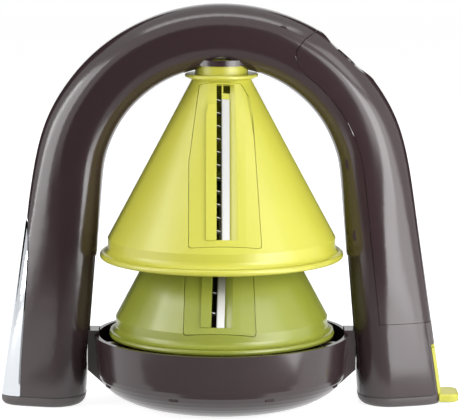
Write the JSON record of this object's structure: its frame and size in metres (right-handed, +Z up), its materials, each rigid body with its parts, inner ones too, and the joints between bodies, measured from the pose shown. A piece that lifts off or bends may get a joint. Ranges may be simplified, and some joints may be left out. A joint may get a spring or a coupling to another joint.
{
  "type": "tornado potato cutter",
  "caption": "Arch-shaped hand cranked cutter with conical slicers hung over a catch bowl, a thumb button and a clamp lever on one leg.",
  "frame": {"origin": "centre of the rubber pad under the bowl, on the table, under the drive spindle", "axes": "+Z up along the spindle, +X towards the leg with the clamp lever, -Y the side that the slicing slots face"},
  "size_m": [0.2556, 0.1422, 0.2235],
  "materials": {
    "body_plastic": "glossy moulded plastic",
    "foot_plastic": "satin moulded plastic",
    "rubber": "soft matte rubber",
    "lime_plastic": "glossy lime plastic",
    "green_plastic": "glossy olive-lime plastic",
    "chrome_trim": "mirror plated",
    "blade_steel": "ground and polished",
    "gear_plastic": "natural acetal",
    "drive_steel": "turned steel",
    "bush_brass": "turned brass"
  },
  "bodies": {
    "base": {"bowl": "body_plastic", "bowl_base_pad": "rubber", "spike_disc": "foot_plastic", "food_spikes": "blade_steel", "centre_spike": "blade_steel"},
    "lower_slicer": {"lower_cone": "green_plastic", "lower_slot_panel": "green_plastic", "lower_blade": "blade_steel", "lower_comb": "blade_steel", "lower_blade_screws": "drive_steel"},
    "upper_slicer": {"upper_cone": "lime_plastic", "upper_slot_panel": "lime_plastic", "upper_blade": "blade_steel", "upper_comb": "blade_steel", "upper_blade_screws": "drive_steel"},
    "spindle": {"spindle": "drive_steel", "spindle_gear": "gear_plastic"},
    "crank": {"crank_shaft": "drive_steel", "crank_gear": "gear_plastic", "crank_arm": "body_plastic", "knob_pin": "drive_steel", "crank_screw": "body_plastic"},
    "crank_knob": {"crank_knob": "lime_plastic", "knob_cap": "lime_plastic"},
    "lever": {"clamp_lever": "lime_plastic"},
    "clamp": {"clamp_rod": "gear_plastic", "clamp_tip": "rubber"},
    "button": {"release_button": "body_plastic"},
    "release_bar": {"release_bar": "gear_plastic"},
    "stand": {"arch_front_shell": "body_plastic", "arch_rear_shell": "body_plastic", "button_dish": "body_plastic", "button_guide": "gear_plastic", "button_spring": "drive_steel", "chrome_trim": "chrome_trim", "crank_bush": "bush_brass", "gear_bracket": "gear_plastic", "left_foot_cap": "foot_plastic", "left_foot_pad": "rubber", "left_guide_channel": "body_plastic", "lever_pin": "drive_steel", "release_rail": "gear_plastic", "right_foot_cap": "foot_plastic", "right_foot_pad": "rubber", "right_guide_channel": "body_plastic", "right_leg_spine": "foot_plastic", "right_limb_cover": "body_plastic", "shell_screws": "drive_steel", "spindle_bush": "bush_brass"}
  },
  "joints": [
    {"name": "stand_lift", "type": "slide", "parent": "base", "child": "stand", "axis": [0, 0, 1], "range_m": [0, 0.06]},
    {"name": "lower_cone_lift", "type": "slide", "parent": "base", "child": "lower_slicer", "axis": [0, 0, 1], "range_m": [0, 0.014]},
    {"name": "crank_turn", "type": "hinge", "parent": "stand", "child": "crank", "pos_m": [0, 0, 0.208], "axis": [0, 1, 0], "continuous": true},
    {"name": "knob_spin", "type": "hinge", "parent": "crank", "child": "crank_knob", "pos_m": [0, 0, 0.166], "axis": [0, 1, 0], "continuous": true},
    {"name": "spindle_turn", "type": "hinge", "parent": "stand", "child": "spindle", "pos_m": [0, 0, 0.19], "axis": [0, 0, 1], "continuous": true},
    {"name": "upper_cone_release", "type": "slide", "parent": "spindle", "child": "upper_slicer", "axis": [0, 0, -1], "range_m": [0, 0.012]},
    {"name": "lever_swing", "type": "hinge", "parent": "stand", "child": "lever", "pos_m": [0.11549, 0, 0.036], "axis": [0, -1, 0], "range_deg": [0, 60]},
    {"name": "clamp_slide", "type": "slide", "parent": "stand", "child": "clamp", "axis": [1, 0, 0], "range_m": [0, 0.0021]},
    {"name": "button_press", "type": "slide", "parent": "stand", "child": "button", "axis": [-0.673, 0, -0.7396], "range_m": [0, 0.0025], "stiffness_N_per_m": 400, "springref_m": -0.001, "deforming": ["button_spring"]},
    {"name": "release_bar_turn", "type": "hinge", "parent": "stand", "child": "release_bar", "pos_m": [0, 0, 0.1185], "axis": [0, 1, 0], "range_deg": [0, 1.8]}
  ],
  "couplings": [
    {"joint": "spindle_turn", "follows": "crank_turn", "ratio": 1},
    {"joint": "clamp_slide", "follows": "lever_swing", "m_per_rad": 0.0019},
    {"joint": "release_bar_turn", "follows": "button_press", "rad_per_m": 12.345}
  ]
}
